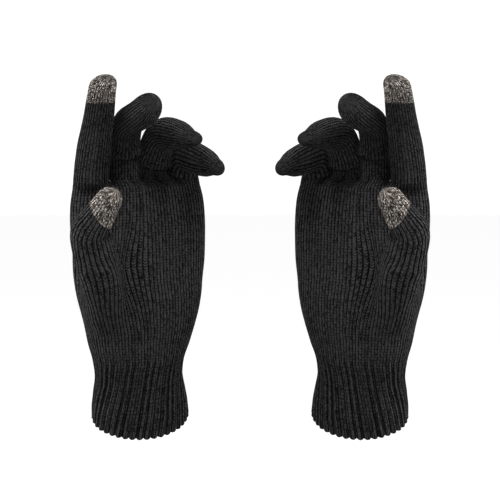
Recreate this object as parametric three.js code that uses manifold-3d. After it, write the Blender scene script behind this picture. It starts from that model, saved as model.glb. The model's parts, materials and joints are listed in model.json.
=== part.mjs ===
// A pair of knitted touchscreen gloves, as they stand on the wearer's raised hands: millimetres, +Z up.
// Each glove is a hollow knit: a ribbed cuff with its edge and elastic, a heel with the thumb's root, a palm
// with the fingers' roots, and the digits' tubes. A tube bends at two knuckles, where a ball turns in the open
// end of the knit below. The origin is midway between the two cuffs' openings. The palms face -Y, and the
// thumbs are on the outside.
import * as THREE from "three";
import { mergeVertices } from "three/addons/utils/BufferGeometryUtils.js";
import Module from "manifold-3d";

const wasm = await Module();
wasm.setup();

// Driving dimensions, for the left glove. The right glove is its mirror image.
const PAIR_HALF_SPACING = 72; // from the origin to a cuff's centre
const KNIT = 1.8; // thickness of the knitted wall
const SEAM_GAP = 0.3; // between two knits that join edge to edge
const TURN_GAP = 0.8; // between a knuckle's ball and the knit that it turns in
const PALM_TURN = THREE.MathUtils.degToRad(25); // the palm faces this far inwards of -Y
const PALM_Y = -12; // the palm's middle plane, in front of the cuff's opening
const CUFF_LEAN = THREE.MathUtils.degToRad(22); // the forearm leans back by this much at the opening
const CUFF_UNTURN = THREE.MathUtils.degToRad(22); // and its oval is turned this much less than the palm
const CUFF_TOP = 39; // where the rib ends and the plain knit starts
const PALM_START = 104; // where the thumb has left the hand, and the palm starts
const HEM_HEIGHT = 3;
const ELASTIC = { low: 22, high: 27, thickness: 1 };
const PASSAGE = THREE.MathUtils.degToRad(42); // a ball's opening for the finger, from its middle to its edge
const MOST_TURNED = THREE.MathUtils.degToRad(40); // the most that opening sits to one side of the tube's axis
const RIM = { back: 4.4, palm: 8.6, bevel: 2.8, edge: 0.4 }; // a knit's open end, below the ball's centre
const SIDES = { hand: 26, tube: 12 };
const BALL_STEPS = 3;

// Across the palm from index to little finger, out of the palm, and up.
const ACROSS = new THREE.Vector3(Math.cos(PALM_TURN), Math.sin(PALM_TURN), 0);
const OUT = new THREE.Vector3(Math.sin(PALM_TURN), -Math.cos(PALM_TURN), 0);
const UP = new THREE.Vector3(0, 0, 1);

// Cross-sections from the cuff's opening to the finger roots: height, half width, half depth, sideways shift.
const SECTIONS = [
  { z: 0, halfWidth: 31.2, halfDepth: 27, shift: 0.8 },
  { z: 8, halfWidth: 30.6, halfDepth: 26, shift: 0.8 },
  { z: 17, halfWidth: 29.6, halfDepth: 23.6, shift: 0.8 },
  { z: 29, halfWidth: 28.4, halfDepth: 21.5, shift: 0.9 },
  { z: CUFF_TOP, halfWidth: 29.7, halfDepth: 21.2, shift: 1.1 },
  { z: 49, halfWidth: 33.2, halfDepth: 21, shift: 1.6 },
  { z: 60, halfWidth: 36.6, halfDepth: 20.5, shift: 2.5 },
  { z: 75, halfWidth: 40.6, halfDepth: 19, shift: 2.6 },
  { z: 91, halfWidth: 43, halfDepth: 16.5, shift: 2.1 },
  { z: 107, halfWidth: 44.3, halfDepth: 15, shift: 2 },
  { z: 123, halfWidth: 45.1, halfDepth: 14.2, shift: 1.6 },
  { z: 139, halfWidth: 44.6, halfDepth: 13.2, shift: 1.1 },
  { z: 150, halfWidth: 41.2, halfDepth: 11.6, shift: 0.9 },
];
const HAND_SQUARENESS = 2.3; // 2 is an ellipse, more is squarer

// Fingers: the root's place across and out of the palm, the heights of the root and the knuckle, radii at the
// knuckle, middle knuckle and end, both lengths' bends from upright in degrees, how long the lengths are, and
// how far the finger turns aside from the way that the palm faces, in degrees.
const FINGERS = {
  index: {
    across: -29.3, out: [1.5, 3.2], root: 141, knuckle: 161,
    radii: [11.2, 9.6, 8.6], bends: [14.5, 25], lengths: [30, 32.6], aside: 0, tip: 19,
  },
  middle: {
    across: -6, out: [-1, -0.6], root: 141, knuckle: 161,
    radii: [9.9, 9.9, 9.3], bends: [19.5, 68], lengths: [29.5, 39], aside: 0, tip: 0,
  },
  ring: {
    across: 14.4, out: [-0.5, 0], root: 141, knuckle: 159,
    radii: [9.6, 9.8, 7], bends: [27, 97], lengths: [27.6, 35], aside: 11, tip: 0,
  },
  little: {
    across: 34.1, out: [1.2, 2.5], root: 139, knuckle: 152,
    radii: [9.1, 9, 5.8], bends: [24, 99], lengths: [16, 31.8], aside: 11, tip: 0,
  },
};

// The thumb's centreline, from its root at the wrist side of the palm to its end.
const THUMB = {
  root: new THREE.Vector3(-13, -17, 52),
  knuckle: new THREE.Vector3(-20.2, -48.3, 97.4),
  middle: new THREE.Vector3(-24.4, -57, 127),
  end: new THREE.Vector3(-6.5, -64.5, 150.7),
  radii: [12, 12.8, 11.6, 8.6],
  tip: 17.5,
};

// ---- Rings and lofts ---------------------------------------------------------------------------------

// A closed mesh over rings of points that all have the same count. joined closes the last ring to the first,
// as a sleeve's walls are; otherwise a fan covers each end.
function loft(rings, joined) {
  const count = rings[0].length;
  const positions = rings.flat().flatMap((p) => [p.x, p.y, p.z]);
  const index = [];
  const spans = joined ? rings.length : rings.length - 1;
  for (let r = 0; r < spans; r += 1) {
    const low = r * count;
    const high = ((r + 1) % rings.length) * count;
    for (let i = 0; i < count; i += 1) {
      const j = (i + 1) % count;
      index.push(low + i, low + j, high + j, low + i, high + j, high + i);
    }
  }
  if (!joined) {
    const firstMiddle = rings.length * count;
    const last = (rings.length - 1) * count;
    for (const ring of [rings[0], rings.at(-1)]) {
      const middle = ring.reduce((sum, p) => sum.add(p), new THREE.Vector3()).divideScalar(count);
      positions.push(...middle.toArray());
    }
    for (let i = 0; i < count; i += 1) {
      const j = (i + 1) % count;
      index.push(firstMiddle, j, i, firstMiddle + 1, last + i, last + j);
    }
  }
  const geometry = new THREE.BufferGeometry();
  geometry.setAttribute("position", new THREE.Float32BufferAttribute(positions, 3));
  geometry.setIndex(index);
  return geometry;
}

function solidOf(geometry) {
  const plain = geometry.clone();
  plain.deleteAttribute("normal");
  plain.deleteAttribute("uv");
  const merged = mergeVertices(plain, 1e-4);
  return new wasm.Manifold(
    new wasm.Mesh({
      numProp: 3,
      vertProperties: new Float32Array(merged.attributes.position.array),
      triVerts: new Uint32Array(merged.index.array),
    }),
  );
}

function geometryOf(solid) {
  const { vertProperties, triVerts } = solid.getMesh();
  const geometry = new THREE.BufferGeometry();
  geometry.setAttribute("position", new THREE.BufferAttribute(new Float32Array(vertProperties), 3));
  geometry.setIndex(new THREE.BufferAttribute(new Uint32Array(triVerts), 1));
  return geometry;
}

// A ring across a direction, turning anticlockwise seen from where the direction points. drop lowers each
// point against the direction by a distance that depends on its angle.
function roundRing(centre, direction, side, radius, drop = () => 0) {
  const front = new THREE.Vector3().crossVectors(direction, side);
  return Array.from({ length: SIDES.tube }, (_, i) => {
    const angle = (2 * Math.PI * i) / SIDES.tube;
    return centre
      .clone()
      .addScaledVector(side, radius * Math.cos(angle))
      .addScaledVector(front, radius * Math.sin(angle))
      .addScaledVector(direction, -drop(angle));
  });
}

// ---- Cuff and palm -----------------------------------------------------------------------------------

// The oval round the hand at any height. inset moves it in from the knit's outer face.
function sectionRing(z, inset) {
  const above = Math.max(1, SECTIONS.findIndex((s) => s.z >= z));
  const [low, high] = [SECTIONS[above - 1], SECTIONS[above]];
  const mix = (key) => THREE.MathUtils.mapLinear(z, low.z, high.z, low[key], high[key]);
  const below = Math.max(0, 1 - z / CUFF_TOP);
  const tilt = new THREE.Euler(CUFF_LEAN * below, 0, -CUFF_UNTURN * below);
  const leaning = new THREE.Quaternion().setFromEuler(tilt);
  const centre = new THREE.Vector3(0, PALM_Y * (1 - below ** 1.6), z).addScaledVector(ACROSS, mix("shift"));
  const side = ACROSS.clone().multiplyScalar(mix("halfWidth") - inset).applyQuaternion(leaning);
  const front = OUT.clone().multiplyScalar(inset - mix("halfDepth")).applyQuaternion(leaning);
  const power = 2 / THREE.MathUtils.lerp(HAND_SQUARENESS, 2, Math.min(1, below * 3));
  return Array.from({ length: SIDES.hand }, (_, i) => {
    const angle = (2 * Math.PI * i) / SIDES.hand;
    const [c, s] = [Math.cos(angle), Math.sin(angle)];
    return centre
      .clone()
      .addScaledVector(side, Math.sign(c) * Math.abs(c) ** power)
      .addScaledVector(front, Math.sign(s) * Math.abs(s) ** power);
  });
}

const heightsBetween = (low, high) => [
  low,
  ...SECTIONS.map((s) => s.z).filter((z) => z > low + 2 && z < high - 2),
  high,
];

function sleeve(low, high, outerInset, innerInset) {
  const heights = heightsBetween(low, high);
  const outer = heights.map((z) => sectionRing(z, outerInset));
  const inner = heights.map((z) => sectionRing(z, innerInset));
  return loft([...outer, ...inner.reverse()], true);
}

// ---- Digits ------------------------------------------------------------------------------------------

function fingerPlan(finger) {
  const aside = THREE.MathUtils.degToRad(finger.aside);
  const forward = OUT.clone().applyAxisAngle(UP, aside);
  const at = (height, out) =>
    new THREE.Vector3(0, PALM_Y, height).addScaledVector(ACROSS, finger.across).addScaledVector(forward, out);
  const [lowWay, highWay] = finger.bends.map((degrees) => {
    const bend = THREE.MathUtils.degToRad(degrees);
    return UP.clone().multiplyScalar(Math.cos(bend)).addScaledVector(forward, Math.sin(bend));
  });
  const root = at(finger.root, finger.out[0]);
  const knuckle = at(finger.knuckle, finger.out[1]);
  return {
    root,
    knuckle,
    middle: knuckle.clone().addScaledVector(lowWay, finger.lengths[0]),
    ways: [knuckle.clone().sub(root).normalize(), lowWay, highWay],
    lengths: finger.lengths,
    radii: [finger.radii[0], ...finger.radii],
    tip: finger.tip,
    hinge: ACROSS.clone().applyAxisAngle(UP, aside),
  };
}

function thumbPlan(thumb) {
  const ways = [
    thumb.knuckle.clone().sub(thumb.root),
    thumb.middle.clone().sub(thumb.knuckle),
    thumb.end.clone().sub(thumb.middle),
  ];
  const lengths = ways.slice(1).map((way) => way.length());
  ways.forEach((way) => way.normalize());
  return { ...thumb, ways, lengths, hinge: new THREE.Vector3().crossVectors(ways[1], ways[2]).normalize() };
}

// Rings round the ball at a length's foot, from the opening for the finger up to the ball's widest.
function footRings(centre, before, way, hinge, radius) {
  const bend = Math.atan2(new THREE.Vector3().crossVectors(before, way).dot(hinge), before.dot(way));
  const turned = THREE.MathUtils.clamp(bend, -MOST_TURNED, MOST_TURNED);
  return Array.from({ length: BALL_STEPS + 1 }, (_, k) => {
    const share = k / BALL_STEPS;
    const direction = way.clone().applyAxisAngle(hinge, -turned * (1 - share));
    const angle = THREE.MathUtils.lerp(PASSAGE, Math.PI / 2, share);
    const middle = centre.clone().addScaledVector(direction, -radius * Math.cos(angle));
    return roundRing(middle, direction, hinge, radius * Math.sin(angle));
  });
}

// A slanting open end below a knuckle's centre, deeper on the palm side so that the digit can bend that way.
const rimDrop = (angle) => RIM.back + ((RIM.palm - RIM.back) * (1 - Math.sin(angle))) / 2;

// The walls of a knit that ends in such a rim: the outer one up to it, and the bevelled inner one back down.
function rimRings(centre, way, hinge, radius) {
  const ring = (inset, below) => roundRing(centre, way, hinge, radius - inset, (a) => rimDrop(a) + below);
  return { outer: ring(0, 0), inner: [ring(RIM.edge, 0), ring(KNIT, RIM.bevel)] };
}

// The dome that closes a digit, from its widest ring up.
function domeRings(start, way, hinge, radius) {
  return [0, 0.4, 0.74, 0.95].map((share) => {
    const middle = start.clone().addScaledVector(way, radius * share);
    return roundRing(middle, way, hinge, radius * Math.sqrt(1 - share * share));
  });
}

function digitPieces(plan) {
  const { knuckle, middle, ways, hinge, lengths, tip } = plan;
  const [, knuckleRadius, middleRadius, endRadius] = plan.radii;
  const foot = (centre, k, radius, inset) => footRings(centre, ways[k - 1], ways[k], hinge, radius - inset);
  const rim = rimRings(middle, ways[1], hinge, middleRadius);
  const base = loft(
    [
      ...foot(knuckle, 1, knuckleRadius, 0),
      rim.outer,
      ...rim.inner,
      ...foot(knuckle, 1, knuckleRadius, KNIT).reverse(),
    ],
    true,
  );
  const domeStart = middle.clone().addScaledVector(ways[2], lengths[1] - endRadius);
  const dome = (inset) => domeRings(domeStart, ways[2], hinge, endRadius - inset);
  const outerFoot = foot(middle, 2, middleRadius, 0);
  const innerFoot = foot(middle, 2, middleRadius, KNIT);
  if (!tip) {
    const end = loft([...dome(KNIT).reverse(), ...innerFoot.reverse(), ...outerFoot, ...dome(0)], false);
    return { base, end };
  }
  const across = (distance, inset) => {
    const radius = THREE.MathUtils.mapLinear(distance, 0, lengths[1] - endRadius, middleRadius, endRadius);
    return roundRing(middle.clone().addScaledVector(ways[2], distance), ways[2], hinge, radius - inset);
  };
  const tipStart = lengths[1] - tip;
  const endTop = tipStart - SEAM_GAP;
  return {
    base,
    end: loft([...outerFoot, across(endTop, 0), across(endTop, KNIT), ...innerFoot.reverse()], true),
    tip: loft([...dome(KNIT).reverse(), across(tipStart, KNIT), across(tipStart, 0), ...dome(0)], false),
  };
}

// ---- The hand ----------------------------------------------------------------------------------------

// The hand's knit in its two lengths: the heel with the thumb's root, and the palm with the fingers' roots.
function handPieces(plans) {
  const top = SECTIONS.at(-1).z;
  const palm = (inset) => {
    const low = CUFF_TOP + SEAM_GAP;
    const rings = heightsBetween(low, top - inset).map((z) => sectionRing(z, inset));
    if (inset) rings.unshift(sectionRing(low, inset).map((p) => p.setZ(p.z - 1)));
    return solidOf(loft(rings, false));
  };
  const root = ({ root: start, knuckle, ways, hinge, radii }, inset) => {
    const side = new THREE.Vector3().crossVectors(hinge, ways[0]).cross(ways[0]).negate().normalize();
    const foot = roundRing(start.clone().addScaledVector(ways[0], inset), ways[0], side, radii[0] - inset);
    const rim = rimRings(knuckle, ways[0], side, radii[1]);
    if (!inset) return solidOf(loft([foot, rim.outer], false));
    const past = rim.inner[0].map((p) => p.clone().addScaledVector(ways[0], 1));
    return solidOf(loft([foot, rim.inner[1], rim.inner[0], past], false));
  };
  const all = (inset) => plans.reduce((sum, plan) => sum.add(root(plan, inset)), palm(inset));
  let hand = all(0).subtract(all(KNIT));
  for (const { knuckle, ways, hinge, radii } of plans) {
    const radius = radii[1] + TURN_GAP;
    const below = footRings(knuckle, ways[0], ways[0], hinge, radius);
    const room = [...below, ...domeRings(knuckle, ways[0], hinge, radius).slice(1)];
    hand = hand.subtract(solidOf(loft(room, false)));
  }
  return {
    heel: geometryOf(hand.trimByPlane([0, 0, -1], SEAM_GAP / 2 - PALM_START)),
    palm: geometryOf(hand.trimByPlane([0, 0, 1], PALM_START + SEAM_GAP / 2)),
  };
}

// ---- The pair ----------------------------------------------------------------------------------------

const KNIT_BLACK = { color: 0x1c1c1e, roughness: 0.95, metalness: 0 };
const RIB_BLACK = { color: 0x19191b, roughness: 0.95, metalness: 0 };
const CONDUCTIVE_MARL = { color: 0x8a7b6c, roughness: 0.8, metalness: 0.1 };
const ELASTIC_BLACK = { color: 0x0c0c0c, roughness: 0.6, metalness: 0 };

function glove(side) {
  const group = new THREE.Group();
  const addPiece = (name, geometry, look) => {
    const mesh = new THREE.Mesh(geometry, new THREE.MeshStandardMaterial(look));
    mesh.name = `${side}_${name}`;
    group.add(mesh);
  };
  const elasticInset = KNIT + SEAM_GAP;
  addPiece("hem", sleeve(0, HEM_HEIGHT, 0, KNIT), RIB_BLACK);
  addPiece("cuff", sleeve(HEM_HEIGHT + SEAM_GAP, CUFF_TOP, 0, KNIT), RIB_BLACK);
  addPiece(
    "cuff_elastic",
    sleeve(ELASTIC.low, ELASTIC.high, elasticInset, elasticInset + ELASTIC.thickness),
    ELASTIC_BLACK,
  );
  const plans = { thumb: thumbPlan(THUMB) };
  for (const [name, finger] of Object.entries(FINGERS)) plans[name] = fingerPlan(finger);
  const hand = handPieces(Object.values(plans));
  addPiece("heel", hand.heel, KNIT_BLACK);
  addPiece("palm", hand.palm, KNIT_BLACK);
  for (const [name, plan] of Object.entries(plans)) {
    const pieces = digitPieces(plan);
    addPiece(`${name}_base`, pieces.base, KNIT_BLACK);
    addPiece(`${name}_end`, pieces.end, KNIT_BLACK);
    if (pieces.tip) addPiece(`${name}_tip`, pieces.tip, CONDUCTIVE_MARL);
  }
  return group;
}

const pair = new THREE.Group();
const leftGlove = glove("left");
leftGlove.position.x = -PAIR_HALF_SPACING;
const rightGlove = glove("right");
rightGlove.position.x = PAIR_HALF_SPACING;
rightGlove.scale.x = -1;
pair.add(leftGlove, rightGlove);

export default pair;
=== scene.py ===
import json
import math

import bpy
import numpy as np
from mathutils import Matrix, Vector, noise

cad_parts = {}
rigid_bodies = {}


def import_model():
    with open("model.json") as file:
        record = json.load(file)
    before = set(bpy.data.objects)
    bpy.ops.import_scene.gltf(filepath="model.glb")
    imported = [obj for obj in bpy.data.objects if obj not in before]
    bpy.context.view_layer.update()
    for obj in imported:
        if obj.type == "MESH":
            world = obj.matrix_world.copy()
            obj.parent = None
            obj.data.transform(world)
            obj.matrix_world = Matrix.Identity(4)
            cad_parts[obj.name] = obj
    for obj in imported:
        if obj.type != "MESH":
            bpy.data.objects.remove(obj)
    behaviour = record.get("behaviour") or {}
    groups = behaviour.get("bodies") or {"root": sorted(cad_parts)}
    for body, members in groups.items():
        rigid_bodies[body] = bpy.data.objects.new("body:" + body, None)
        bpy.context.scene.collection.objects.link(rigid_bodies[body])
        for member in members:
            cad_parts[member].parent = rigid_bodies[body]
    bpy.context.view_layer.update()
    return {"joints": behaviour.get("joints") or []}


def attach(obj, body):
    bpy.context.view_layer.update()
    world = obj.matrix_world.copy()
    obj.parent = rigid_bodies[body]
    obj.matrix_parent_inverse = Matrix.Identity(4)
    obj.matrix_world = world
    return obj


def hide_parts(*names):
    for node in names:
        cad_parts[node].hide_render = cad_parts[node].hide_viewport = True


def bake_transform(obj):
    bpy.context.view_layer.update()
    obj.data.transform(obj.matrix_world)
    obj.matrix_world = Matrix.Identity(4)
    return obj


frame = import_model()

# ---- Driving dimensions, in millimetres ----------------------------------------------------------

GLOVE_X = 72.0  # from the pair's middle to a cuff's middle
KNIT = 1.8  # thickness of the knit
COURSE = 1.75  # height of a stitch
WALES = 88  # stitches round the cuff and the palm
RIBS = 38  # ribs round the cuff
THUMB_WALES = 9  # stitches along the thumb's crotch
FINGER_WALES = 6  # stitches along a crotch between two fingers
INDEX_WALES = 3  # stitches along the crotch on the index finger's side
RIB_RELIEF = 1.6  # the cuff's ribs, from valley to top
WALE_RELIEF = 0.5  # the plain knit's wales
INDEX_RELIEF = 1.1  # the wales stretched over the index finger
WEAR = 0.6  # how uneven the knit is
WEAR_SCALE = 17  # across one swell of that unevenness

HEM_TOP = 3.15
CUFF_TOP = 39.0
THUMB_CROTCH = 100.0
FINGER_CROTCH = 149.0
RIB_FADE = (CUFF_TOP - 6, CUFF_TOP + 8)  # heights between which the ribs die out
PALM_TURN = math.radians(25)  # the palm faces this far inwards of -Y
PALM_Y = -12.0
CUFF_LEAN = math.radians(22)  # the forearm leans back at the opening
CUFF_UNTURN = math.radians(22)  # and faces this much less inwards than the palm
HAND_SQUARENESS = 2.3  # 2 is an ellipse, more is squarer
WEB = 7.0  # how softly the thumb's root joins the palm
WEB_RISE = 1.5  # how far the knit between two fingers swells up

STEPS = 6  # columns of points in a wale
COLUMNS = WALES * STEPS
ROW = 1.2  # between two rows of points
INNER_ROWS = 4  # rows of a digit's outer wall to one of its inner wall
HAND_INNER_ROWS = 5  # the same on the hand

ACROSS = np.array([math.cos(PALM_TURN), math.sin(PALM_TURN), 0.0])
OUT = np.array([math.sin(PALM_TURN), -math.cos(PALM_TURN), 0.0])
UP = np.array([0.0, 0.0, 1.0])
ROUND = np.linspace(0, 2 * math.pi, 721)[:-1] - math.pi / 2

# Cross-sections of the cuff and the hand: height, half width, half depth, sideways shift.
SECTIONS = np.array([
    (0, 31.2, 27, 0.8),
    (8, 30.6, 26, 0.8),
    (17, 29.6, 23.6, 0.8),
    (29, 28.4, 21.5, 0.9),
    (39, 29.7, 21.2, 1.1),
    (49, 33.2, 21, 1.6),
    (60, 36.6, 20.5, 2.5),
    (75, 40.6, 19, 2.6),
    (91, 43, 16.5, 2.1),
    (107, 44.3, 15, 2),
    (123, 45.1, 14.2, 1.6),
    (139, 44.4, 13, 1.1),
    (150, 42.2, 11.6, 0.9),
])

# The thumb's root inside the hand: height, x, y, and its half sizes across its slant and along it.
THUMB_ROOT = np.array([
    (52, -13, -17, 9, 10),
    (70, -15.9, -29.8, 11.6, 14.2),
    (86, -18.4, -41.2, 12.6, 15.2),
    (THUMB_CROTCH, -20.8, -49.4, 13, 14.6),
])
THUMB_SLANT = (-0.15, -1.0, 0.0)  # the way across the palm that the root stands out
THUMB_REACH = 17.5  # the thumb takes the wales this near its middle at the crotch
ROOT_WALES = (17, 45)  # the wales that spread round the thumb's root
ROOT_RISE = 16  # above the cuff, where the root is all there
CROTCH_PULL = 20  # how far above its crotch the thumb still pulls the palm out
FOOT_FADE = 3.5  # how far up a digit the hand's relief reaches

# Where the crotches between the fingers are across the palm, at the front and at the back.
CROTCHES = ((-23.3, -14.0), (-4.0, 8.0), (19.0, 28.0))

# A digit's closed end.
DOME_ROWS = 12
DOME_SQUARENESS = 2.3
DOME_TOP = 0.02  # the last ring's share of the digit's radius
RELIEF_END = 3.0  # the wales die out this far from the top
TIP_LENGTH = 18.5  # of the conductive knit, from the top
TIP_SLANT_REACH = 11  # how far round the tip's edge its courses slant

# A fold in the knit, and the roll of knit above it.
FOLD_WIDTH = 1.3
ROLL_PLACE = 3.6
ROLL_WIDTH = 2.6
ROLL_SHARE = 0.6

# The hem and the elastic inside the cuff.
HEM_ROLL = KNIT * 0.62
HEM_SCALLOP = 0.7
HEM_DROP = 0.9
HEM_LIFT = 0.2
ELASTIC_HEIGHTS = (22.6, 23.9, 25.2, 26.5)
ELASTIC_RADIUS = 0.42
ELASTIC_GAP = 0.8  # from the cuff's inner wall to a yarn's middle
ELASTIC_SIDES = 8
ELASTIC_POINTS = 128

# ---- Colours and light, in metres and watts ------------------------------------------------------

# The knit's darkest and lightest colours. Between them the colour follows each stitch's random tone and
# painted shade, darker down in the recesses between stitches and ribs.
BLACK_DEEP = (0.001, 0.001, 0.0011)
BLACK_LIT = (0.067, 0.065, 0.069)
STITCH_DEPTH = 0.001
TIP_STITCH_DEPTH = 0.0006
ELASTIC_DEPTH = 0.0002
LIT_PLACE = Vector((0, 0, 0.11))  # what the lights face
FLOOR_SIZE = 8
FLOOR_HEIGHT = -0.35
FLOOR_GREY = (0.45, 0.45, 0.45, 1)
WHITE = (1, 1, 1, 1)
AMBIENT = 0.22  # the light that comes from all round
BACKDROP = 1.1  # the white seen behind the gloves
FLOOR_GLOW = 0.85  # keeps the floor as white as the backdrop
VIEW_DISTANCE = 1.1
VIEW_ELEVATION = math.radians(8)
VIEW_HEIGHT = 0.1067
VIEW_WIDTH = 0.32
SENSOR = 36  # millimetres


def knuckle(name):
    """A joint's place in the left glove's own millimetres, and its axis."""
    joint = next(j for j in frame["joints"] if j["name"] == "left_" + name)
    return np.array(joint["pos_m"]) * 1000 + np.array([GLOVE_X, 0, 0]), np.array(joint["axis"])


# ---- Small geometry helpers ----------------------------------------------------------------------


def smooth(t):
    t = np.clip(t, 0, 1)
    return t * t * (3 - 2 * t)


def unit(v):
    return v / np.maximum(np.linalg.norm(v, axis=-1, keepdims=True), 1e-9)


def spline(x, knots, values):
    """A smooth curve through values at knots."""
    slopes = np.gradient(values, knots)
    i = np.clip(np.searchsorted(knots, x) - 1, 0, len(knots) - 2)
    width = knots[i + 1] - knots[i]
    t = (x - knots[i]) / width
    start = values[i] * (1 + 2 * t) * (1 - t) ** 2 + slopes[i] * width * t * (1 - t) ** 2
    return start + values[i + 1] * t * t * (3 - 2 * t) + slopes[i + 1] * width * t * t * (t - 1)


def travelled(points):
    steps = np.linalg.norm(np.diff(points, axis=0), axis=1)
    return np.concatenate([[0], np.cumsum(steps)])


def resampled(points, count, closed=False):
    """Points at equal steps along a line. A closed line's first point isn't repeated at its end."""
    if closed:
        points = np.vstack([points, points[:1]])
    so_far = travelled(points)
    at = np.linspace(0, so_far[-1], count + 1 if closed else count)
    if closed:
        at = at[:-1]
    return points_at(at, so_far, points)


def points_at(lengths, so_far, line):
    """The points of a line at lengths along it, where so_far is each of its own points' length."""
    return np.stack([np.interp(lengths, so_far, line[:, k]) for k in range(3)], axis=1)


def softened(values, width):
    """Values round a ring, each averaged with its neighbours."""
    half = width // 2
    kernel = np.hanning(width)
    closed = np.concatenate([values[-half:], values, values[:half]])
    return np.convolve(closed, kernel / kernel.sum(), "valid")


def rounded_path(corners, radii, step):
    """Points at equal steps along a line of corners, each rounded off with its radius."""
    corners = [np.array(c, float) for c in corners]
    line = [corners[0]]
    for before, corner, after, radius in zip(corners, corners[1:], corners[2:], radii):
        to, away = unit(corner - before), unit(after - corner)
        bend = math.acos(float(np.clip(to @ away, -1, 1)))
        room = 0.49 * min(np.linalg.norm(corner - before), np.linalg.norm(after - corner))
        reach = min(radius * math.tan(bend / 2), room)
        start, end = corner - to * reach, corner + away * reach
        for t in np.linspace(0, 1, 12):
            line.append((1 - t) ** 2 * start + 2 * t * (1 - t) * corner + t * t * end)
    line.append(corners[-1])
    line = np.array(line)
    return resampled(line, max(4, round(travelled(line)[-1] / step) + 1))


def grid_normals(rows):
    """Outward normals of a tube's points. Rows go up, and columns turn anticlockwise from above."""
    along = np.gradient(rows, axis=0)
    around = np.roll(rows, -1, axis=1) - np.roll(rows, 1, axis=1)
    return unit(np.cross(around, along))


# ---- The hand's rows -----------------------------------------------------------------------------


def section_frame(z):
    """The oval round the hand at a height: its centre, its half axes and its squareness."""
    half_width, half_depth, shift = (spline(z, SECTIONS[:, 0], SECTIONS[:, k]) for k in (1, 2, 3))
    below = max(0.0, 1 - z / CUFF_TOP)
    turn, lean = -CUFF_UNTURN * below, CUFF_LEAN * below
    c, s = math.cos(turn), math.sin(turn)
    spin = np.array([[c, -s, 0], [s, c, 0], [0, 0, 1]])
    c, s = math.cos(lean), math.sin(lean)
    tilt = np.array([[1, 0, 0], [0, c, -s], [0, s, c]])
    centre = np.array([0, PALM_Y * (1 - below**1.6), z]) + ACROSS * shift
    squareness = HAND_SQUARENESS + (2 - HAND_SQUARENESS) * min(1, below * 3)
    return centre, tilt @ spin @ (ACROSS * half_width), tilt @ spin @ (OUT * half_depth), squareness


def eye_point(centre, side, front):
    """A point inside the hand from which its whole outline is in sight, the thumb's root too."""
    return centre - 0.2 * side + 0.1 * front


def oval(z):
    """The outline at a height without the thumb, from the back's middle to the index finger's side."""
    centre, side, front, squareness = section_frame(z)
    c, s = np.cos(ROUND), np.sin(ROUND)
    a = -np.sign(c) * np.abs(c) ** (2 / squareness)
    b = np.sign(s) * np.abs(s) ** (2 / squareness)
    return centre + np.outer(a, side) + np.outer(b, front)


def bare_row(z):
    """The points of a row at a height, without the thumb."""
    return resampled(oval(z), COLUMNS, closed=True)


def outline(z):
    """The outline at a height with the thumb's root joined softly to the palm."""
    centre, side, front, squareness = section_frame(z)
    half_width, half_depth = np.linalg.norm(side), np.linalg.norm(front)
    x, y, wide, deep = (spline(z, THUMB_ROOT[:, 0], THUMB_ROOT[:, k]) for k in (1, 2, 3, 4))
    eye = eye_point(centre, side, front)
    ways = np.outer(-np.cos(ROUND), ACROSS) + np.outer(np.sin(ROUND), OUT)
    reach = np.linspace(2, 90, 441)
    points = eye + ways[:, None, :] * reach[None, :, None]
    a = np.abs((points - centre) @ ACROSS) / half_width
    b = np.abs((points - centre) @ OUT) / half_depth
    palm = ((a**squareness + b**squareness) ** (1 / squareness) - 1) * half_depth
    slant = unit(np.array(THUMB_SLANT))
    aside = np.array([-slant[1], slant[0], 0.0])
    offset = points - np.array([x, y, z])
    thumb = (np.hypot(offset @ slant / deep, offset @ aside / wide) - 1) * wide
    share = np.clip(0.5 + 0.5 * (palm - thumb) / WEB, 0, 1)
    inside = palm * (1 - share) + thumb * share - WEB * share * (1 - share) < 0
    radius = reach[reach.size - 1 - np.argmax(inside[:, ::-1], axis=1)]
    return eye + ways * softened(radius, 15)[:, None]


def joined_row(z, bare):
    """The row with the thumb's root at a height. The wales keep the places that they have on the bare
    row, and those round the root spread evenly."""
    line = outline(z)
    centre, side, front, _ = section_frame(z)
    away = bare - eye_point(centre, side, front)
    turn = np.unwrap(np.arctan2(away @ OUT, -(away @ ACROSS)))
    closed = np.vstack([line, line[:1]])
    so_far = travelled(closed)
    whole = so_far[-1]
    turns = np.concatenate([ROUND - 2 * math.pi, ROUND, ROUND + 2 * math.pi])
    lengths = np.concatenate([so_far[:-1] - whole, so_far[:-1], so_far[:-1] + whole])
    at = np.interp(turn, turns, lengths)
    start, end = (c * STEPS for c in ROOT_WALES)
    at[start : end + 1] = np.linspace(at[start], at[end], end - start + 1)
    step = whole / COLUMNS
    off = softened(at - np.arange(COLUMNS) * step, 35)
    return points_at((off + np.arange(COLUMNS) * step) % whole, so_far, closed)


def heights_between(bottom, top):
    """The heights of the rows from one height to another."""
    return np.linspace(bottom, top, round((top - bottom) / ROW) + 1)


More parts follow.
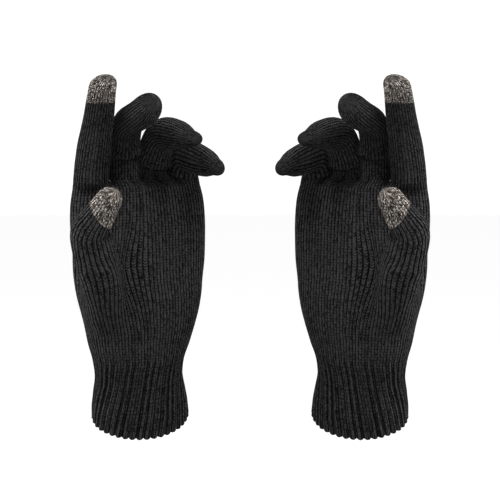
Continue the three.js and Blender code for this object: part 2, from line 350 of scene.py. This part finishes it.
def hand_rows():
    """The hand's points below and above the thumb's crotch, and the first and last column that the
    thumb takes. The crotch's row is in both: round the thumb below, and behind it above."""
    low = []
    for z in heights_between(CUFF_TOP, THUMB_CROTCH):
        bare = bare_row(z)
        low.append(bare + (joined_row(z, bare) - bare) * smooth((z - CUFF_TOP) / ROOT_RISE))
    bare = bare_row(THUMB_CROTCH)
    reach = np.linalg.norm(low[-1][:, :2] - THUMB_ROOT[-1, 1:3], axis=1)
    taken = np.flatnonzero(reach < THUMB_REACH)
    first, last = (int(round(c / STEPS)) * STEPS for c in (taken.min(), taken.max()))
    share = np.linspace(0, 1, last - first + 1)[:, None]
    crotch = low[-1].copy()
    line = bare[first : last + 1]
    to_first, to_last = crotch[first] - line[0], crotch[last] - line[-1]
    crotch[first : last + 1] = line + (1 - share) * to_first + share * to_last
    high = []
    for z in heights_between(THUMB_CROTCH, FINGER_CROTCH):
        fade = math.exp(-(((z - THUMB_CROTCH) / CROTCH_PULL) ** 2))
        high.append(bare_row(z) + (crotch - bare) * fade)
    return np.array(low), np.array(high), first, last


def crotch_columns(top):
    """The hand's columns at the three crotches' front and back ends."""
    across = top @ ACROSS
    columns = np.arange(COLUMNS)
    facing_out = (columns > COLUMNS / 4) & (columns < COLUMNS * 3 / 4)

    def nearest(place, facing):
        column = columns[facing][np.argmin(np.abs(across[facing] - place))]
        return int(round(column / STEPS)) * STEPS

    fronts = [nearest(front, facing_out) for front, back in CROTCHES]
    backs = [nearest(back, ~facing_out) for front, back in CROTCHES]
    return fronts, backs


def finger_rings(top, fronts, backs):
    """The first ring of each finger's tube, cut from the hand's top row along the three crotches."""

    def arc(start, end):
        """Columns from start up to end, not counting end, and past the last column to the first."""
        return top[np.arange(start, end if end > start else end + COLUMNS) % COLUMNS]

    def crotch(start, end, wales=FINGER_WALES):
        t = np.arange(wales * STEPS)[:, None] / (wales * STEPS)
        swell = UP * (4 * WEB_RISE) * t * (1 - t)
        return top[start % COLUMNS] * (1 - t) + top[end % COLUMNS] * t + swell

    index_crotch = crotch(fronts[0], backs[0], INDEX_WALES)
    rings = {"index": np.vstack([arc(backs[0], fronts[0]), index_crotch])}
    for k, name in ((0, "middle"), (1, "ring")):
        rings[name] = np.vstack([
            arc(fronts[k], fronts[k + 1]),
            crotch(fronts[k + 1], backs[k + 1]),
            arc(backs[k + 1], backs[k]),
            crotch(backs[k], fronts[k]),
        ])
    rings["little"] = np.vstack([arc(fronts[2], backs[2]), crotch(backs[2], fronts[2])])
    return rings


def thumb_ring(row, crotch, first, last):
    """The first ring of the thumb's tube: round the thumb on the hand's row, and back along the crotch."""
    behind = resampled(crotch[first : last + 1][::-1], THUMB_WALES * STEPS + 1)
    return np.vstack([row[first:last], behind[:-1]])


# ---- Digits --------------------------------------------------------------------------------------


def finger_path(name, corners, radii):
    """A finger's centreline beside the plane it bends in, and the way across that plane. Corners are
    given as how far aside, how far out of the palm, and how high."""
    joint, hinge = knuckle(name + "_knuckle")
    forward = np.cross(hinge, UP)
    across = (joint - np.array([0, PALM_Y, 0])) @ hinge
    plane = np.array([0, PALM_Y, 0]) + hinge * across
    line = [plane + hinge * aside + forward * out + UP * z for aside, out, z in corners]
    return rounded_path(line, radii, ROW), hinge


def with_dome(path, ways, along, radius):
    """Adds a closed end's rows to a digit's centreline, its ways, its lengths and its radii."""
    end_radius = radius[-1]
    rise = np.sin(np.linspace(0, math.pi / 2, DOME_ROWS)[1:])
    shrink = (1 - rise**DOME_SQUARENESS) ** (1 / DOME_SQUARENESS)
    shrink[-1] = DOME_TOP
    path = np.vstack([path, path[-1] + np.outer(rise * end_radius, ways[-1])])
    along = np.concatenate([along, along[-1] + rise * end_radius])
    radius = np.concatenate([radius, shrink * end_radius])
    ways = np.vstack([ways, np.repeat(ways[-1:], rise.size, axis=0)])
    return path, ways, along, radius


def carried(side, ways):
    """A way across a centreline at its start, carried along it without twisting."""
    sides = [unit(side - (side @ ways[0]) * ways[0])]
    for way in ways[1:]:
        sides.append(unit(sides[-1] - (sides[-1] @ way) * way))
    return np.array(sides)


def tube(ring, path, side, radii, flatness=0.97, morph=6.0, skew=(0, 0), tilt=(0, 0, 0)):
    """Rows of points of a digit: they start as the ring it grows from, turn round within morph, follow
    the path, and end in a dome. radii are pairs of a share of the path and a radius. skew moves the
    dome's top across and back. tilt slants the courses at the tip's edge. Also how far along each row
    is."""
    along = travelled(path)
    ways = unit(np.gradient(path, axis=0))
    ways[0] = UP
    radius = spline(along / along[-1], *np.array(radii, float).T)
    end_radius = radius[-1]
    path, ways, along, radius = with_dome(path, ways, along, radius)
    sides = carried(side, ways)
    backs = np.cross(ways, sides)
    local = ring - path[0]
    raw = np.unwrap(np.arctan2(local @ backs[0], local @ sides[0]))
    even = 2 * math.pi * np.arange(len(ring)) / len(ring)
    angle = even + np.mean(raw - even)
    rows = []
    for k in range(len(path)):
        share = smooth(along[k] / morph)
        circle = np.outer(np.cos(angle), sides[k]) + np.outer(np.sin(angle) * flatness, backs[k])
        past = max(0.0, (along[k] - along[-1]) / end_radius + 1)
        lean = (sides[k] * skew[0] + backs[k] * skew[1]) * past**2
        nearness = np.exp(-(((along[-1] - along[k] - TIP_LENGTH) / TIP_SLANT_REACH) ** 2))
        slant = (nearness * (circle @ np.array(tilt)))[:, None] * ways[k] * radius[k]
        rows.append(path[k] + local * (1 - share) + circle * radius[k] * share + lean - slant)
    return np.array(rows), along


def crease(rows, along, place, depth):
    """Folds the knit in along a course on the palm's side. The knit above rolls out over it."""
    normals = grid_normals(rows)
    toward = np.clip(normals @ OUT, 0, 1) ** 0.6
    off = along - place
    roll = ROLL_SHARE * depth * np.exp(-(((off - ROLL_PLACE) / ROLL_WIDTH) ** 2))
    fold = -depth * np.exp(-((off / FOLD_WIDTH) ** 2)) + roll
    return rows + normals * (toward * fold[:, None])[:, :, None]


# ---- Knit relief ---------------------------------------------------------------------------------


def uneven(rows):
    """A slow unevenness along the normals, as worn knit has."""
    flat = rows.reshape(-1, 3) / WEAR_SCALE
    amount = [noise.noise(Vector(p)) for p in flat]
    return np.array(amount).reshape(rows.shape[:2]) * WEAR


def rib_share(heights):
    """The rib is full on the cuff and dies out into the plain knit."""
    return 1 - smooth((np.asarray(heights) - RIB_FADE[0]) / (RIB_FADE[1] - RIB_FADE[0]))


def relief(rows, plain=WALE_RELIEF, rib=None):
    """Raises a row's wales. rib is each row's share of the cuff's rib."""
    count = rows.shape[1]
    wale = np.arange(count) / STEPS
    wales = plain * (np.sqrt(np.abs(np.cos(math.pi * wale))) - 0.85)
    height = np.repeat(wales[None, :], len(rows), axis=0)
    if rib is not None:
        ribs = RIB_RELIEF * (np.abs(np.cos(math.pi * wale * RIBS / WALES)) ** 0.7 - 0.8)
        height = height * (1 - 0.7 * rib[:, None]) + ribs[None, :] * rib[:, None]
    return height + uneven(rows)


# ---- Meshes --------------------------------------------------------------------------------------


class Piece:
    """A mesh being put together: its points, faces, and the wale and course at each corner of each face."""

    def __init__(self):
        self.points, self.faces, self.places = [], [], []
        self.size = 0

    def add_points(self, points):
        """Adds points, and gives the first one's number."""
        start = self.size
        self.points.append(points.reshape(-1, 3))
        self.size += len(self.points[-1])
        return start

    def add_rows(self, rows):
        """Adds rows of points, and gives their numbers."""
        start = self.add_points(rows)
        return start + np.arange(rows.shape[0] * rows.shape[1]).reshape(rows.shape[:2])

    def add_grid(self, numbers, course, inside=False):
        """Quads between rows of point numbers. inside turns them round, for a wall's inner face."""
        count = numbers.shape[1]
        for r in range(len(numbers) - 1):
            for j in range(count):
                k = (j + 1) % count
                face = [numbers[r, j], numbers[r, k], numbers[r + 1, k], numbers[r + 1, j]]
                left, right = j / STEPS, (j + 1) / STEPS
                low, high = course[r], course[r + 1]
                place = [(left, low), (right, low), (right, high), (left, high)]
                if inside:
                    face, place = face[::-1], place[::-1]
                self.faces.append(face)
                self.places.append(place)

    def add_edge(self, numbers, course):
        """Closes a wall's edge. It has points of its own, so that the shading doesn't turn the corner."""
        self.add_grid(self.add_rows(np.vstack(self.points)[numbers]), course)

    def add_cap(self, ring, course, inside=False):
        """Closes a tube's last ring to a point at its middle."""
        points = np.vstack(self.points)
        middle = self.add_points(points[ring].mean(axis=0)[None, :])
        for j in range(len(ring)):
            face = [ring[j], ring[(j + 1) % len(ring)], middle]
            place = [(j / STEPS, course), ((j + 1) / STEPS, course), ((j + 0.5) / STEPS, course)]
            if inside:
                face, place = face[::-1], place[::-1]
            self.faces.append(face)
            self.places.append(place)

    def objects(self, name, material, slot):
        """The left glove's piece, and the right glove's as its mirror image."""
        made = []
        for side in ("left", "right"):
            points = np.vstack(self.points) * 0.001
            points[:, 0] -= GLOVE_X * 0.001
            faces, places = self.faces, self.places
            if side == "right":
                points[:, 0] *= -1
                faces = [f[::-1] for f in faces]
                places = [p[::-1] for p in places]
            mesh = bpy.data.meshes.new(f"{side}_{name}")
            mesh.from_pydata(points.tolist(), [], [list(map(int, f)) for f in faces])
            layer = mesh.uv_layers.new(name="knit")
            layer.data.foreach_set("uv", np.array([c for p in places for c in p], np.float32).ravel())
            mesh.polygons.foreach_set("use_smooth", np.ones(len(mesh.polygons), bool))
            mesh.materials.append(material)
            made.append(bpy.data.objects.new(f"{side}_{name}", mesh))
            bpy.context.scene.collection.objects.link(made[-1])
        return made


def tube_piece(rows, outer, normals, course, closed_end=False):
    """A knitted tube with two walls: the outer one with its relief, and a plainer inner one."""
    piece = Piece()
    numbers = piece.add_rows(outer)
    piece.add_grid(numbers, course)
    last = len(rows) - INNER_ROWS if closed_end else len(rows) - 1
    keep = sorted(set(range(0, last, INNER_ROWS)) | {last})
    inner = piece.add_rows((rows - normals * KNIT)[keep])
    piece.add_grid(inner, course[keep], inside=True)
    piece.add_edge(np.stack([inner[0], numbers[0]]), course[[0, 0]])
    if closed_end:
        piece.add_cap(numbers[-1], course[-1])
        piece.add_cap(inner[-1], course[keep[-1]], inside=True)
    else:
        piece.add_edge(np.stack([numbers[-1], inner[-1]]), course[[-1, -1]])
    return piece


# ---- Materials -----------------------------------------------------------------------------------


class Nodes:
    """A short way to write a material's nodes."""

    def __init__(self, name):
        self.material = bpy.data.materials.new(name)
        self.material.use_nodes = True
        self.tree = self.material.node_tree
        self.shader = self.tree.nodes["Principled BSDF"]

    def link(self, value, socket):
        """Joins a node's output to a socket, or sets the socket to a number or colour."""
        if isinstance(value, bpy.types.NodeSocket):
            self.tree.links.new(value, socket)
        else:
            socket.default_value = value

    def math(self, operation, *values):
        """Adds a sum, product or other operation on values."""
        node = self.tree.nodes.new("ShaderNodeMath")
        node.operation = operation
        for value, socket in zip(values, node.inputs):
            self.link(value, socket)
        return node.outputs[0]

    def add(self, kind, settings=None, **inputs):
        """Adds a node with its settings and inputs."""
        node = self.tree.nodes.new(kind)
        for key, value in (settings or {}).items():
            setattr(node, key, value)
        for key, value in inputs.items():
            self.link(value, node.inputs[key.replace("_", " ")])
        return node

    def stitches(self):
        """The wale and course at a point, and the stitch's height there: each wale's two slanting legs."""
        place = self.add("ShaderNodeUVMap", {"uv_map": "knit"}).outputs[0]
        split = self.add("ShaderNodeSeparateXYZ", Vector=place)
        wale = self.math("ADD", split.outputs["X"], 0.5)
        course = split.outputs["Y"]
        aside = self.math("ABSOLUTE", self.math("SUBTRACT", self.math("FRACT", wale), 0.5))
        leg = self.math("DIVIDE", self.math("SUBTRACT", aside, 0.14), 0.3)
        round_leg = self.math("SUBTRACT", 1.0, self.math("POWER", self.math("ABSOLUTE", leg), 2.0))
        slanted = self.math("ADD", course, self.math("MULTIPLY", aside, -1.6))
        turn = self.math("SINE", self.math("MULTIPLY", slanted, 2 * math.pi))
        gap = self.math("MULTIPLY", self.math("ADD", turn, 1.0), 0.5)
        filled = self.math("ADD", self.math("MULTIPLY", gap, 0.45), 0.55)
        height = self.math("MULTIPLY", round_leg, filled)
        return wale, slanted, self.math("MAXIMUM", height, 0.0)

    def painted_rib_shade(self, wale, course):
        """Painted shade between the cuff's ribs, and the same everywhere above them."""
        turn = self.math("MULTIPLY", self.math("SUBTRACT", wale, 0.5), math.pi * RIBS / WALES)
        rib = self.math("POWER", self.math("ABSOLUTE", self.math("COSINE", turn)), 0.6)
        share = self.add(
            "ShaderNodeMapRange",
            Value=course,
            From_Min=RIB_FADE[0] / COURSE,
            From_Max=RIB_FADE[1] / COURSE,
            To_Min=0.85,
            To_Max=0.0,
        )
        gap = self.math("MULTIPLY", self.math("SUBTRACT", 1.0, rib), share.outputs[0])
        return self.math("SUBTRACT", 1.08, gap)

    def stitch_noise(self, wale, slanted, offset=0.0):
        """A random number for each stitch."""
        cell = self.add(
            "ShaderNodeCombineXYZ",
            X=self.math("FLOOR", wale),
            Y=self.math("FLOOR", slanted),
            Z=offset,
        )
        settings = {"noise_dimensions": "3D"}
        return self.add("ShaderNodeTexWhiteNoise", settings, Vector=cell.outputs[0]).outputs

    def fuzz(self, scale):
        """The yarn's fine hairs."""
        where = self.add("ShaderNodeTexCoord").outputs["Object"]
        return self.add(
            "ShaderNodeTexNoise", Vector=where, Scale=scale, Detail=3.0, Roughness=0.65
        ).outputs[0]

    def ramp(self, value, stops, constant=False):
        """A colour for each value, between stops or in flat steps."""
        node = self.add("ShaderNodeValToRGB")
        node.color_ramp.interpolation = "CONSTANT" if constant else "LINEAR"
        elements = node.color_ramp.elements
        while len(elements) < len(stops):
            elements.new(0.5)
        for element, (at, colour) in zip(elements, stops):
            element.position = at
            element.color = (*colour, 1)
        self.link(value, node.inputs[0])
        return node.outputs["Color"]

    def bump(self, height, distance):
        """Raises the surface by a height, at most by a distance in metres."""
        node = self.add("ShaderNodeBump", Strength=1.0, Distance=distance, Height=height)
        self.link(node.outputs[0], self.shader.inputs["Normal"])

    def finish(self, roughness, sheen, sheen_roughness, specular):
        """Sets how rough, fluffy and glossy the material is, and gives it."""
        inputs = self.shader.inputs
        inputs["Roughness"].default_value = roughness
        inputs["Sheen Weight"].default_value = sheen
        inputs["Sheen Roughness"].default_value = sheen_roughness
        inputs["Specular IOR Level"].default_value = specular
        return self.material


def black_knit(name):
    """Fine black yarn: painted shade darkens it between the wales, the ribs and the stitches, and its tone
    is uneven between stitches.
    """
    n = Nodes(name)
    wale, slanted, height = n.stitches()
    chance = n.stitch_noise(n.math("MULTIPLY", wale, 2.0), n.math("MULTIPLY", slanted, 2.0))[0]
    streak = n.stitch_noise(wale, 0.0, 3.0)[0]
    fuzz = n.fuzz(1300.0)
    # painted shade: the colour darkens with the stitch's height, down into the recesses between wales and
    # stitches; chance is each stitch's own random tone
    tone_with_painted_shade = n.math("MULTIPLY", height, n.math("ADD", n.math("MULTIPLY", chance, 1.3), 0.35))
    # painted shade between the cuff's ribs
    tone_with_painted_shade = n.math("MULTIPLY", tone_with_painted_shade, n.painted_rib_shade(wale, slanted))
    tone_with_painted_shade = n.math("ADD", tone_with_painted_shade, n.math("SUBTRACT", fuzz, 0.5))
    tone_with_painted_shade = n.math("ADD", tone_with_painted_shade, n.math("MULTIPLY", n.math("SUBTRACT", streak, 0.5), 0.18))
    middle = tuple(0.25 * channel for channel in BLACK_LIT)
    stops = [(0.2, BLACK_DEEP), (0.55, middle), (1.0, BLACK_LIT)]
    n.link(n.ramp(tone_with_painted_shade, stops), n.shader.inputs["Base Color"])
    n.bump(n.math("ADD", height, n.math("MULTIPLY", fuzz, 0.3)), STITCH_DEPTH)
    return n.finish(0.95, 0.05, 0.35, 0.15)


def conductive_knit():
    """The touch tips' marl: each bit of yarn is black, brown, beige or silver, with painted shade down
    between the stitches.
    """
    n = Nodes("conductive_knit")
    wale, slanted, height = n.stitches()
    chance = n.stitch_noise(n.math("MULTIPLY", wale, 3.0), n.math("MULTIPLY", slanted, 3.0), 7.0)[0]
    colour = n.ramp(
        chance,
        [
            (0.0, (0.004, 0.0035, 0.0035)),
            (0.38, (0.04, 0.03, 0.025)),
            (0.54, (0.21, 0.165, 0.135)),
            (0.72, (0.46, 0.39, 0.33)),
            (0.88, (0.85, 0.81, 0.76)),
        ],
        constant=True,
    )
    shade = n.add("ShaderNodeMix", {"data_type": "RGBA", "blend_type": "MULTIPLY"})
    shade.inputs["Factor"].default_value = 1.0
    n.link(colour, shade.inputs["A"])
    # painted shade: the marl darkens where the stitch's height sinks, between the stitches
    stitch_painted_shade = n.ramp(height, [(0.0, (0.38, 0.38, 0.38)), (0.6, (1, 1, 1))])
    n.link(stitch_painted_shade, shade.inputs["B"])
    n.link(shade.outputs["Result"], n.shader.inputs["Base Color"])
    n.bump(height, TIP_STITCH_DEPTH)
    return n.finish(0.6, 0.05, 0.4, 0.4)


def elastic_yarn():
    """Black rubber yarn."""
    n = Nodes("elastic_yarn")
    fuzz = n.fuzz(1500.0)
    colour = n.ramp(fuzz, [(0.3, (0.005, 0.005, 0.005)), (0.7, (0.016, 0.016, 0.016))])
    n.link(colour, n.shader.inputs["Base Color"])
    n.bump(fuzz, ELASTIC_DEPTH)
    return n.finish(0.7, 0.05, 0.4, 0.3)


PLAIN = black_knit("black_knit")
RIBBED = black_knit("rib_knit")
MARL = conductive_knit()
ELASTIC = elastic_yarn()

# ---- The pieces ----------------------------------------------------------------------------------


def course_at(heights):
    """The courses at heights, as numbers."""
    return np.asarray(heights) / COURSE


def ride_both(objects, body, *nodes):
    """Both gloves' pieces move with a body, and stand for nodes."""
    for side, piece in zip(("left", "right"), objects):
        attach(piece, f"{side}_{body}")
        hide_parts(*(f"{side}_{node}" for node in nodes))


def blend_both(objects, first, second, start, end, *nodes):
    """Both gloves' pieces keep their places in the world, bound to no body, and stand for nodes. first,
    second, start and end are not used.
    """
    for side, piece in zip(("left", "right"), objects):
        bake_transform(piece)
        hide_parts(*(f"{side}_{node}" for node in nodes))


def make_cuff():
    """The ribbed tube round the wrist."""
    heights = heights_between(HEM_TOP, CUFF_TOP)
    rows = np.array([bare_row(z) for z in heights])
    height = relief(rows, rib=rib_share(heights))
    normals = grid_normals(rows)
    piece = tube_piece(rows, rows + normals * height[:, :, None], normals, course_at(heights))
    ride_both(piece.objects("cuff", RIBBED, "rib_knit"), "hand", "cuff")


def make_hem():
    """The cuff's edge: the rib turned under in a narrow roll, scalloped by the ribs."""
    ring = bare_row(0.0)
    above = bare_row(HEM_TOP)
    up = unit(above - ring)
    outward = grid_normals(np.array([ring, above]))[0]
    wale = np.arange(COLUMNS) / STEPS
    ribs = np.abs(np.cos(math.pi * wale * RIBS / WALES)) ** 0.8
    edge = up * (ribs * HEM_SCALLOP + HEM_DROP)[:, None]
    lift = relief(np.array([ring, above]), rib=np.ones(2))
    rows = [above + outward * lift[1][:, None]]
    for angle in np.linspace(0, math.pi, 9):
        swell = outward * (HEM_ROLL * (math.cos(angle) - 1))
        drop = up * (-(HEM_ROLL * math.sin(angle)) + HEM_LIFT)
        rows.append(ring + swell + outward * lift[0][:, None] + drop - edge)
    rows.append(above - outward * KNIT)
    rows = np.array(rows)[::-1]
    piece = Piece()
    numbers = piece.add_rows(rows)
    course = np.linspace(-1.5, HEM_TOP, len(rows)) / COURSE
    piece.add_grid(numbers, course)
    piece.add_grid(np.stack([numbers[-1], numbers[0]]), course[[-1, -1]])
    ride_both(piece.objects("hem", RIBBED, "rib_knit"), "hand", "hem")


def make_elastic():
    """Four elastic yarns round the inside of the rib."""
    piece = Piece()
    around = np.linspace(0, 2 * math.pi, ELASTIC_SIDES + 1)[:-1]
    course = np.arange(ELASTIC_SIDES + 1) * 0.5
    for z in ELASTIC_HEIGHTS:
        ring, above = (resampled(oval(h), ELASTIC_POINTS, closed=True) for h in (z, z + 1))
        outward = grid_normals(np.array([ring, above]))[0]
        middle = ring - outward * (KNIT + ELASTIC_GAP)
        rows = []
        for a in around:
            rows.append(middle + outward * math.cos(a) * ELASTIC_RADIUS + UP * math.sin(a) * ELASTIC_RADIUS)
        numbers = piece.add_rows(np.array(rows))
        piece.add_grid(np.vstack([numbers, numbers[:1]]), course)
    ride_both(piece.objects("cuff_elastic", ELASTIC, "elastic"), "hand", "cuff_elastic")


def shared_columns(first, last):
    """The columns that run on past the thumb's crotch, unlike those that the thumb takes."""
    shared = np.ones(COLUMNS, bool)
    shared[first + 1 : last] = False
    return shared


def hand_walls(low, high, first, last):
    """The hand's outer wall with its relief, and its plainer inner wall, each below and above the
    thumb's crotch, with the height of each row."""
    rib = rib_share(np.linspace(CUFF_TOP, THUMB_CROTCH, len(low)))
    same = shared_columns(first, last)
    walls = []
    for inner in (False, True):
        parts = []
        for rows, share in ((low, rib), (high, np.zeros(len(high)))):
            normals = grid_normals(rows)
            if inner:
                keep = sorted(set(range(0, len(rows), HAND_INNER_ROWS)) | {len(rows) - 1})
                parts.append(((rows - normals * KNIT)[keep], rows[keep][:, 0, 2]))
            else:
                parts.append((rows + normals * relief(rows, rib=share)[:, :, None], rows[:, 0, 2]))
        parts[1][0][0][same] = parts[0][0][-1][same]
        walls.append(parts)
    return walls


def make_hand(walls, first, last):
    """The hand's knit, with a hole where the thumb's tube starts."""
    piece = Piece()
    same = shared_columns(first, last)
    numbers = []
    for inner, parts in zip((False, True), walls):
        (low_points, low_heights), (high_points, high_heights) = parts
        low_numbers = piece.add_rows(low_points)
        high_numbers = piece.add_rows(high_points)
        high_numbers[0][same] = low_numbers[-1][same]
        piece.add_grid(low_numbers, course_at(low_heights), inside=inner)
        piece.add_grid(high_numbers, course_at(high_heights), inside=inner)
        numbers.append((low_numbers, high_numbers))
    (outer_low, outer_high), (inner_low, inner_high) = numbers
    edge = course_at([CUFF_TOP, CUFF_TOP])
    piece.add_edge(np.stack([inner_low[0], outer_low[0]]), edge)
    piece.add_edge(np.stack([outer_high[-1], inner_high[-1]]), edge)
    ride_both(piece.objects("hand", PLAIN, "black_knit"), "hand", "heel", "palm")


def make_digit(name, rows, along, foot, split, tip_start=None, plain=WALE_RELIEF):
    """A digit's knit in a lower and an upper piece, which meet at the split, and a tip where it has
    one. foot is where the hand's knit ends round the digit's first row."""
    low_knuckle, high_knuckle = (knuckle(name + k)[0] for k in ("_knuckle", "_middle_knuckle"))
    base_height = THUMB_CROTCH if name == "thumb" else FINGER_CROTCH
    course = course_at(base_height + along)
    height = relief(rows, plain) * np.clip((along[-1] - along) / RELIEF_END, 0, 1)[:, None]
    cut = int(np.argmin(np.abs(along - split)))
    stop = len(rows) if tip_start is None else int(np.argmin(np.abs(along - tip_start))) + 1
    normals = grid_normals(rows)
    outer = rows + normals * height[:, :, None]
    outer = outer + (foot - outer[0]) * np.exp(-((along / FOOT_FADE) ** 2))[:, None, None]
    centres = rows.mean(axis=1)

    def nearest(place):
        return int(np.argmin(np.linalg.norm(centres - place, axis=1)))

    def part(start, end, closed):
        span = slice(start, end)
        return tube_piece(rows[span], outer[span], normals[span], course[span], closed)

    lower = part(0, cut + 1, False).objects(name + "_lower", PLAIN, "black_knit")
    reach = np.linalg.norm(rows[cut] - centres[cut], axis=1).mean()
    start = centres[3]
    end = centres[min(cut, nearest(low_knuckle) + round(reach / ROW))]
    blend_both(lower, "hand", name + "_base", start, end, name + "_base")
    upper = part(cut, stop, tip_start is None).objects(name + "_upper", PLAIN, "black_knit")
    at_knuckle = nearest(high_knuckle)
    span = max(3, round(0.9 * reach / ROW))
    start = centres[max(cut, at_knuckle - span)]
    end = centres[min(len(rows) - DOME_ROWS, at_knuckle + span)]
    blend_both(upper, name + "_base", name + "_end", start, end, name + "_end")
    if tip_start is not None:
        tip = part(stop - 1, len(rows), True).objects(name + "_tip", MARL, "conductive_knit")
        ride_both(tip, name + "_end", name + "_tip")


def make_index(ring, foot):
    """The index finger, nearly straight, with its conductive tip."""
    root = (-1, 1.5, FINGER_CROTCH)
    corners = [root, (-1, 3.4, 163), (0, 11.6, 189), (-0.2, 19, 204), (-0.6, 23.6, 212)]
    path, hinge = finger_path("index", corners, [30, 30, 30])
    radii = [(0, 11.3), (0.35, 10.5), (0.7, 9.3), (1, 8.4)]
    rows, along = tube(ring, path, hinge, radii, 0.95, skew=(2.4, 0), tilt=-0.5 * OUT)
    make_digit("index", rows, along, foot, 26, along[-1] - TIP_LENGTH, INDEX_RELIEF)


def make_middle(ring, foot):
    """The middle finger, bent forward in its upper half."""
    corners = [(-2, -1, FINGER_CROTCH), (-1.4, -1.4, 168), (-2.4, 7, 188.8), (-0.8, 35.6, 199)]
    path, hinge = finger_path("middle", corners, [14, 14])
    radii = [(0, 10.3), (0.3, 9.9), (0.55, 9.6), (1, 9.4)]
    rows, along = tube(ring, path, hinge, radii, skew=(2.2, 3))
    rows = crease(rows, along, 20, 3)
    make_digit("middle", rows, along, foot, 28)


def make_ring_finger(ring, foot):
    """The ring finger, bent forward until its end lies level."""
    corners = [(-2, -0.5, FINGER_CROTCH), (-3, -0.6, 161), (-2.8, 12.8, 184), (0, 42, 181)]
    path, hinge = finger_path("ring", corners, [9, 16])
    radii = [(0, 10.1), (0.3, 11.1), (0.6, 10.2), (0.85, 8.9), (1, 5.6)]
    rows, along = tube(ring, path, hinge, radii, skew=(2.5, 0))
    rows = crease(rows, along, 15, 3)
    make_digit("ring", rows, along, foot, 26)


def make_little(ring, foot):
    """The little finger, bent forward near its root."""
    corners = [(-0.2, 1.2, FINGER_CROTCH), (-0.4, 1.8, 156), (-1, 8.8, 168), (0, 39.4, 162.4)]
    path, hinge = finger_path("little", corners, [8, 10])
    radii = [(0, 11.6), (0.2, 11.2), (0.4, 10.6), (0.65, 10), (0.85, 8.4), (1, 5.4)]
    rows, along = tube(ring, path, hinge, radii, skew=(1.5, -1.5))
    rows = crease(rows, along, 8, 1.6)
    make_digit("little", rows, along, foot, 14)


def make_thumb(ring, foot):
    """The thumb, held in front of the palm, with its conductive tip."""
    root = ring.mean(axis=0)
    corners = [root, (-25.4, -57.2, 125.8), (-15.2, -61.6, 141.6), (-12.8, -63.2, 145.4)]
    path = rounded_path(corners, [11, 20], ROW)
    radii = [(0, 13.2), (0.3, 13), (0.52, 12.2), (0.75, 9.8), (1, 7.8)]
    slant = 0.42 * np.array([0.74, 0, -0.67])
    rows, along = tube(ring, path, ACROSS, radii, 0.96, morph=14, skew=(1.5, 1), tilt=slant)
    make_digit("thumb", rows, along, foot, 15, along[-1] - TIP_LENGTH)


# ---- Floor, light and camera ---------------------------------------------------------------------


def make_stage():
    """A plain pale floor."""
    bpy.ops.mesh.primitive_plane_add(size=FLOOR_SIZE, location=(0, 0, FLOOR_HEIGHT))
    floor = bpy.context.object
    floor.name = "floor"
    n = Nodes("floor")
    n.shader.inputs["Base Color"].default_value = FLOOR_GREY
    n.shader.inputs["Roughness"].default_value = 0.9
    n.shader.inputs["Emission Color"].default_value = WHITE
    seen = n.tree.nodes.new("ShaderNodeLightPath").outputs["Is Camera Ray"]
    n.link(n.math("MULTIPLY", seen, FLOOR_GLOW), n.shader.inputs["Emission Strength"])
    floor.data.materials.append(n.material)


def make_light(name, place, size, power):
    """A square soft light that faces the middle of the gloves."""
    data = bpy.data.lights.new(name, "AREA")
    data.size = size
    data.energy = power
    lamp = bpy.data.objects.new(name, data)
    lamp.location = place
    lamp.rotation_euler = (LIT_PLACE - Vector(place)).to_track_quat("-Z", "Y").to_euler()
    bpy.context.scene.collection.objects.link(lamp)


def make_lights():
    """A soft light above each glove, one at each side, and a weak one in front."""
    make_light("left_key", (-0.55, -0.6, 1.35), 0.45, 12)
    make_light("right_key", (0.55, -0.6, 1.35), 0.45, 12)
    make_light("fill", (0, -1.3, 0.1), 0.6, 2)
    make_light("left_edge", (-0.9, 0.1, 0.4), 0.4, 7)
    make_light("right_edge", (0.9, 0.1, 0.4), 0.4, 7)
    bpy.context.scene.view_settings.view_transform = "Standard"


def make_world():
    """A white backdrop that lights the gloves only weakly."""
    world = bpy.data.worlds.new("studio")
    bpy.context.scene.world = world
    world.use_nodes = True
    tree = world.node_tree
    backdrop = tree.nodes["Background"]
    backdrop.inputs["Color"].default_value = WHITE
    seen = tree.nodes.new("ShaderNodeLightPath").outputs["Is Camera Ray"]
    strength = tree.nodes.new("ShaderNodeMapRange")
    strength.inputs["To Min"].default_value = AMBIENT
    strength.inputs["To Max"].default_value = BACKDROP
    tree.links.new(seen, strength.inputs["Value"])
    tree.links.new(strength.outputs["Result"], backdrop.inputs["Strength"])


def make_camera():
    """A long lens in front of the pair, a little above its middle."""
    data = bpy.data.cameras.new("camera")
    data.sensor_width = SENSOR
    data.lens = SENSOR * VIEW_DISTANCE / VIEW_WIDTH
    camera = bpy.data.objects.new("camera", data)
    back = VIEW_DISTANCE * math.cos(VIEW_ELEVATION)
    rise = VIEW_DISTANCE * math.sin(VIEW_ELEVATION)
    camera.location = (0, -back, VIEW_HEIGHT + rise)
    camera.rotation_euler = (math.pi / 2 - VIEW_ELEVATION, 0, 0)
    bpy.context.scene.collection.objects.link(camera)
    bpy.context.scene.camera = camera


def make_gloves():
    """Both gloves, from the hem up to the digits, which start at the hand's last rows."""
    make_hem()
    make_cuff()
    make_elastic()
    low, high, first, last = hand_rows()
    outer, inner = hand_walls(low, high, first, last)
    make_hand((outer, inner), first, last)
    (outer_low, _), (outer_high, _) = outer
    crotches = crotch_columns(high[-1])
    rings = finger_rings(high[-1], *crotches)
    feet = finger_rings(outer_high[-1], *crotches)
    make_index(rings["index"], feet["index"])
    make_middle(rings["middle"], feet["middle"])
    make_ring_finger(rings["ring"], feet["ring"])
    make_little(rings["little"], feet["little"])
    thumb_foot = thumb_ring(outer_low[-1], outer_high[0], first, last)
    make_thumb(thumb_ring(low[-1], high[0], first, last), thumb_foot)


make_camera()
make_lights()
make_world()
make_stage()
make_gloves()
